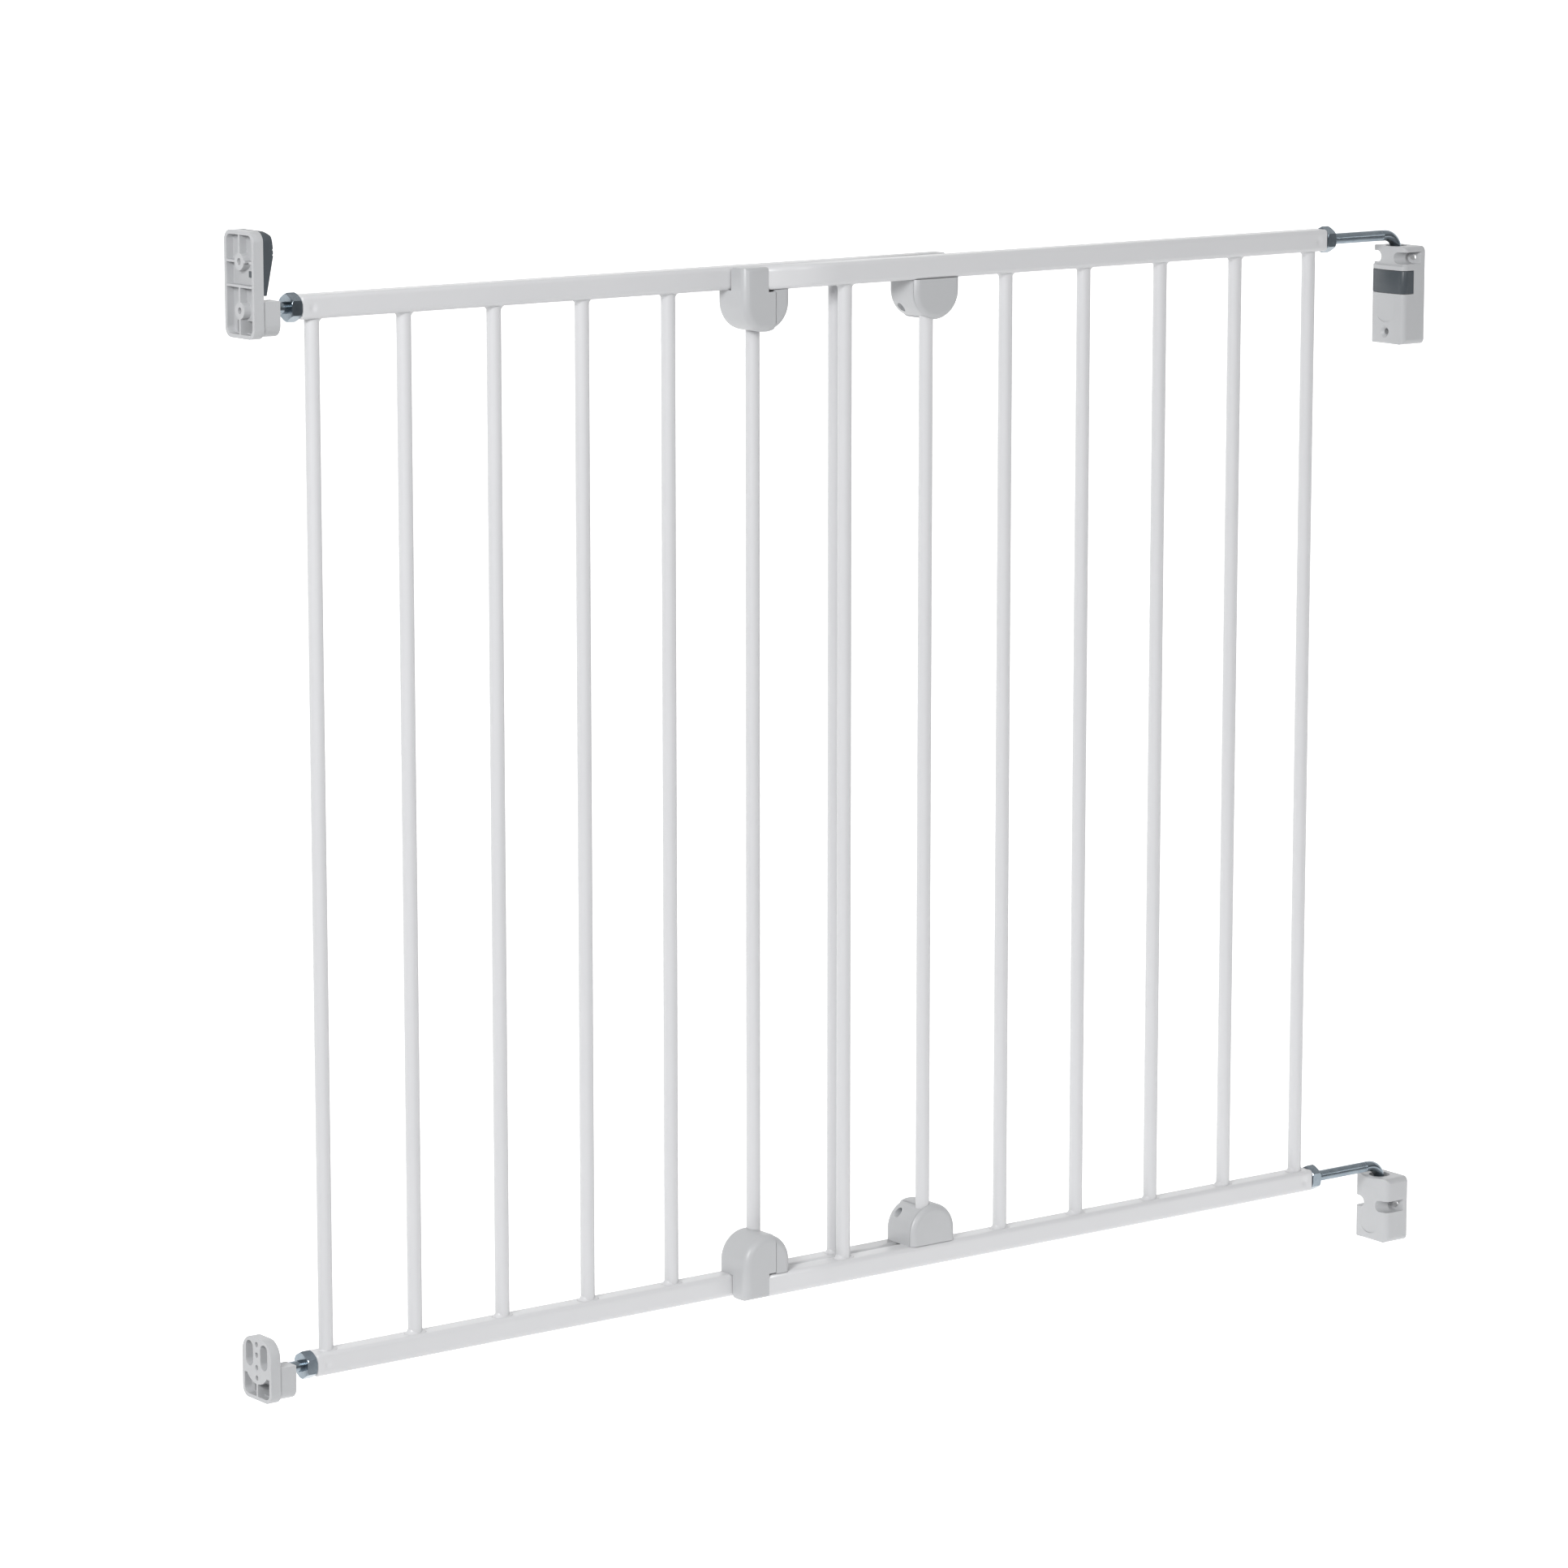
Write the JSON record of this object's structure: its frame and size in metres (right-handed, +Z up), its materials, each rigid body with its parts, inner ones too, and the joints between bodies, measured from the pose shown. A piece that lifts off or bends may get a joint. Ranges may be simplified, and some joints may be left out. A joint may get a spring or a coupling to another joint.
{
  "type": "safety baby gate",
  "caption": "Wall-fixed extending safety gate with two overlapping barred frames, cranked hinge pins and latch bolts that lift out of wall cups.",
  "frame": {"origin": "middle of the lower hinge bracket's wall face", "axes": "+X out of the gate into the hinge wall, -X towards the latch wall, +Y the side the gate opens to, +Z up"},
  "size_m": [1.015, 0.053, 0.824],
  "materials": {
    "white_powder_coat": "satin white powder coat",
    "light_plastic": "fine moulded grain, light grey",
    "white_plastic": "plain moulded",
    "dark_plastic": "fine moulded grain, dark grey",
    "zinc_steel": "bright zinc plate",
    "nylon": "natural nylon"
  },
  "bodies": {
    "wall_brackets": {"upper_hinge_bracket": "light_plastic", "lower_hinge_bracket": "light_plastic", "upper_latch_bracket": "light_plastic", "lower_latch_bracket": "light_plastic"},
    "hinge_bushes": {"upper_hinge_bush": "nylon", "lower_hinge_bush": "nylon"},
    "hinge_rods": {"upper_hinge_rod": "zinc_steel", "lower_hinge_rod": "zinc_steel"},
    "gate_panel": {"front_top_rail": "white_powder_coat", "front_bottom_rail": "white_powder_coat", "rear_top_rail": "white_powder_coat", "rear_bottom_rail": "white_powder_coat", "front_bar_1": "white_powder_coat", "front_bar_2": "white_powder_coat", "front_bar_3": "white_powder_coat", "front_bar_4": "white_powder_coat", "front_bar_5": "white_powder_coat", "front_bar_6": "white_powder_coat", "front_bar_7": "white_powder_coat", "rear_bar_1": "white_powder_coat", "rear_bar_2": "white_powder_coat", "rear_bar_3": "white_powder_coat", "rear_bar_4": "white_powder_coat", "rear_bar_5": "white_powder_coat", "rear_bar_6": "white_powder_coat", "rear_bar_7": "white_powder_coat", "front_top_insert": "white_plastic", "front_bottom_insert": "white_plastic", "rear_top_insert": "white_plastic", "rear_bottom_insert": "white_plastic", "upper_hinge_nut": "zinc_steel", "lower_hinge_nut": "zinc_steel", "upper_latch_nut": "zinc_steel", "lower_latch_nut": "zinc_steel", "left_top_clip_body": "light_plastic", "left_top_clip_cover": "light_plastic", "left_bottom_clip_body": "light_plastic", "left_bottom_clip_cover": "light_plastic", "right_top_clip_body": "light_plastic", "right_top_clip_cover": "light_plastic", "right_bottom_clip_body": "light_plastic", "right_bottom_clip_cover": "light_plastic", "clip_screws": "zinc_steel"},
    "upper_bolt": {"upper_latch_bolt": "zinc_steel"},
    "lower_bolt": {"lower_latch_bolt": "zinc_steel"},
    "catch": {"catch_slider": "dark_plastic"},
    "retainer": {"lift_retainer": "dark_plastic"}
  },
  "joints": [
    {"name": "gate_swing", "type": "hinge", "parent": "wall_brackets", "child": "hinge_bushes", "pos_m": [-0.0125, 0, 0.35], "axis": [0, 0, -1], "range_deg": [0, 88]},
    {"name": "gate_lift", "type": "slide", "parent": "hinge_bushes", "child": "hinge_rods", "axis": [0, 0, 1], "range_m": [0, 0.008]},
    {"name": "width_adjust", "type": "slide", "parent": "hinge_rods", "child": "gate_panel", "axis": [1, 0, 0], "range_m": [0, 0.012]},
    {"name": "upper_bolt_adjust", "type": "slide", "parent": "gate_panel", "child": "upper_bolt", "axis": [1, 0, 0], "range_m": [0, 0.012]},
    {"name": "lower_bolt_adjust", "type": "slide", "parent": "gate_panel", "child": "lower_bolt", "axis": [1, 0, 0], "range_m": [0, 0.012]},
    {"name": "catch_slide", "type": "slide", "parent": "wall_brackets", "child": "catch", "axis": [0, 0, 1], "range_m": [0, 0.008]},
    {"name": "retainer_pull", "type": "slide", "parent": "wall_brackets", "child": "retainer", "axis": [-1, 0, 0], "range_m": [0, 0.0088]}
  ],
  "couplings": [
    {"joint": "catch_slide", "follows": "gate_lift", "ratio": 1}
  ]
}
